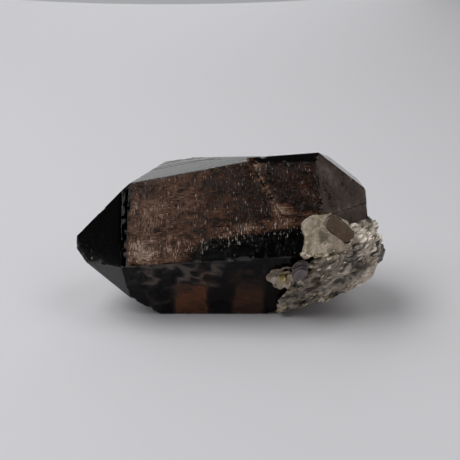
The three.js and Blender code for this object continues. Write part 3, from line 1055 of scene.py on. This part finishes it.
def add_softbox(name, turn, rise, power, size=(0.45, 0.45), distance=0.8):
    """A soft light round the crystal: turn is 0 in front and 90 at the base's end, rise is above level."""
    t, r = math.radians(turn), math.radians(rise)
    out = Vector((math.sin(t) * math.cos(r), -math.cos(t) * math.cos(r), math.sin(r)))
    lamp = bpy.data.lights.new(name, "AREA")
    lamp.shape = "RECTANGLE"
    lamp.size, lamp.size_y = size
    lamp.energy = power
    light = bpy.data.objects.new(name, lamp)
    bpy.context.scene.collection.objects.link(light)
    light.location = (LOW + HIGH) / 2 + out * distance
    light.rotation_euler = out.to_track_quat("Z", "Y").to_euler()
    light.visible_camera = False


def build_stage(look):
    """The camera, the soft lights and the pale backdrop."""
    scene = bpy.context.scene
    target = CENTRE + Vector((0, 0, look.aim_height))
    tilt = look.camera_elevation
    back = Vector((0, -math.cos(tilt), math.sin(tilt)))
    camera = bpy.data.objects.new("camera", bpy.data.cameras.new("camera"))
    scene.collection.objects.link(camera)
    camera.location = target + back * look.camera_distance
    camera.rotation_euler = (-back).to_track_quat("-Z", "Y").to_euler()
    camera.data.lens = look.lens
    camera.data.sensor_width = SENSOR_WIDTH
    camera.data.clip_start = 0.005
    scene.camera = camera

    paper = as_object("backdrop", backdrop_mesh(LOW.z), paper_material(look), smooth_angle=60)

    # The light comes mostly from the left and from above. The rest of the room stays dark, which is
    # what the smooth faces mirror.
    for name, turn, rise, power in SOFTBOXES:
        add_softbox(name, turn, rise, power)
    add_softbox("back_card", -174, 16, 0.3, size=(0.6, 0.32), distance=0.7)
    world = bpy.data.worlds.new("studio")
    world.use_nodes = True
    world.node_tree.nodes["Background"].inputs["Color"].default_value = linear("#ffffff")
    world.node_tree.nodes["Background"].inputs["Strength"].default_value = look.world_strength
    scene.world = world
    scene.view_settings.view_transform = "Standard"


# ---- Add-on ----
def colour_property(name, description, hex_colour):
    """A colour setting, with an sRGB hex colour as its default."""
    return bpy.props.FloatVectorProperty(
        name=name, description=description, subtype="COLOR", min=0, max=1, default=linear(hex_colour)[:3]
    )


class QuartzLook(bpy.types.PropertyGroup):
    """Sizes and colours of the crystal, its crust and the stage."""

    pitch: bpy.props.FloatProperty(
        name="Grid", description="Spacing of points on the crystal", default=0.6 * MM, unit="LENGTH"
    )
    clear_colour: colour_property("Clear", "Tint of clear quartz", "#f4e6d8")
    haze_dark: colour_property("Haze dark", "Faintest haze", "#1d0d05")
    haze_brown: colour_property("Haze brown", "Thin haze", "#432818")
    haze_grey: colour_property("Haze grey", "Usual haze", "#664a39")
    haze_pale: colour_property("Haze pale", "Thickest haze", "#a4907f")
    # Painted glints: the etch ticks are bright marks laid on in colour.
    glint_tick_colour: colour_property("Ticks", "Colour of etch ticks", "#c2b8ad")
    volume_colour: bpy.props.FloatVectorProperty(
        name="Volume colour",
        description="Light that the smoky quartz lets through",
        subtype="COLOR",
        default=(0.361, 0.178, 0.044),
    )
    volume_density: bpy.props.FloatProperty(
        name="Volume density", description="Absorption of the smoky quartz, per metre", default=150
    )
    crust_voxel: bpy.props.FloatProperty(
        name="Crust grid", description="Voxel size of the crust", default=0.34 * MM, unit="LENGTH"
    )
    crust_dark: colour_property("Crust dark", "Darkest crust", "#3a3128")
    crust_mid: colour_property("Crust middle", "Usual crust", "#988b7c")
    crust_light: colour_property("Crust light", "Light crust", "#cbbdac")
    crust_pale: colour_property("Crust pale", "Palest crust", "#e6dccf")
    flakes_per_cm2: bpy.props.FloatProperty(
        name="Flakes", description="Mica flakes on each square centimetre", default=38
    )
    flake_radius: bpy.props.FloatProperty(
        name="Flake radius", description="Radius of a mica flake", default=0.95 * MM, unit="LENGTH"
    )
    # Painted light: the amber light through the thin lower part is a colour laid on the surface.
    painted_amber_colour: colour_property("Amber", "Light through the thin lower part of the crystal", "#6e432b")
    tan_stand: bpy.props.FloatProperty(
        name="Tan stand", description="How far the tan crystal stands out", default=0.15 * MM, unit="LENGTH"
    )
    slab_dark: colour_property("Feldspar dark", "Darkest feldspar", "#5f5644")
    slab_mid: colour_property("Feldspar middle", "Usual feldspar", "#918370")
    slab_light: colour_property("Feldspar light", "Light feldspar", "#bbad99")
    paper_colour: colour_property("Paper", "Backdrop colour", "#e6e6ea")
    camera_elevation: bpy.props.FloatProperty(
        name="Camera elevation", description="Angle above level", default=math.radians(16), subtype="ANGLE"
    )
    lens: bpy.props.FloatProperty(name="Lens", description="Focal length in millimetres", default=60.06)
    camera_distance: bpy.props.FloatProperty(
        name="Camera distance", description="From its target", default=0.2, unit="LENGTH"
    )
    aim_height: bpy.props.FloatProperty(
        name="Aim height", description="Height of the camera's target", default=0.019, unit="LENGTH"
    )
    world_strength: bpy.props.FloatProperty(name="World", description="Room light", default=0.04)


class BuildQuartz(bpy.types.Operator):
    """Build the smoky quartz crystal"""

    bl_idname = "quartz.build_crystal"
    bl_label = "Build crystal"

    def execute(self, context):
        build_quartz(context.scene.quartz_look)
        return {"FINISHED"}


class BuildCrust(bpy.types.Operator):
    """Build the mica crust and its flakes"""

    bl_idname = "quartz.build_crust"
    bl_label = "Build crust"

    def execute(self, context):
        build_crust(context.scene.quartz_look)
        return {"FINISHED"}


class BuildSlab(bpy.types.Operator):
    """Build the feldspar plate"""

    bl_idname = "quartz.build_slab"
    bl_label = "Build feldspar"

    def execute(self, context):
        build_slab(context.scene.quartz_look)
        return {"FINISHED"}


class BuildSmallCrystals(bpy.types.Operator):
    """Build the tan and the grey small crystals"""

    bl_idname = "quartz.build_small_crystals"
    bl_label = "Build small crystals"

    def execute(self, context):
        build_small_crystals(context.scene.quartz_look)
        return {"FINISHED"}


class BuildLeaves(bpy.types.Operator):
    """Build the mica rosette and the grey mica book"""

    bl_idname = "quartz.build_leaves"
    bl_label = "Build mica leaves"

    def execute(self, context):
        build_rosette()
        build_book()
        return {"FINISHED"}


class BuildStage(bpy.types.Operator):
    """Build the camera, lights and backdrop"""

    bl_idname = "quartz.build_stage"
    bl_label = "Build stage"

    def execute(self, context):
        build_stage(context.scene.quartz_look)
        return {"FINISHED"}


STEPS = (BuildStage, BuildQuartz, BuildCrust, BuildSlab, BuildSmallCrystals, BuildLeaves)


class QuartzPanel(bpy.types.Panel):
    """Lists the steps and the look's settings"""

    bl_idname = "VIEW3D_PT_quartz"
    bl_label = "Smoky quartz"
    bl_space_type = "VIEW_3D"
    bl_region_type = "UI"
    bl_category = "Quartz"

    def draw(self, context):
        for step in STEPS:
            self.layout.operator(step.bl_idname)
        for name in QuartzLook.__annotations__:
            self.layout.prop(context.scene.quartz_look, name)


CLASSES = (QuartzLook, *STEPS, QuartzPanel)


def register():
    """Registers the add-on's classes and its settings."""
    for cls in CLASSES:
        bpy.utils.register_class(cls)
    bpy.types.Scene.quartz_look = bpy.props.PointerProperty(type=QuartzLook)


def unregister():
    """Removes the add-on's classes and its settings."""
    del bpy.types.Scene.quartz_look
    for cls in reversed(CLASSES):
        bpy.utils.unregister_class(cls)


def main():
    """Runs every step."""
    register()
    for step in STEPS:
        group, name = step.bl_idname.split(".")
        getattr(getattr(bpy.ops, group), name)()


if __name__ == "__main__":
    main()
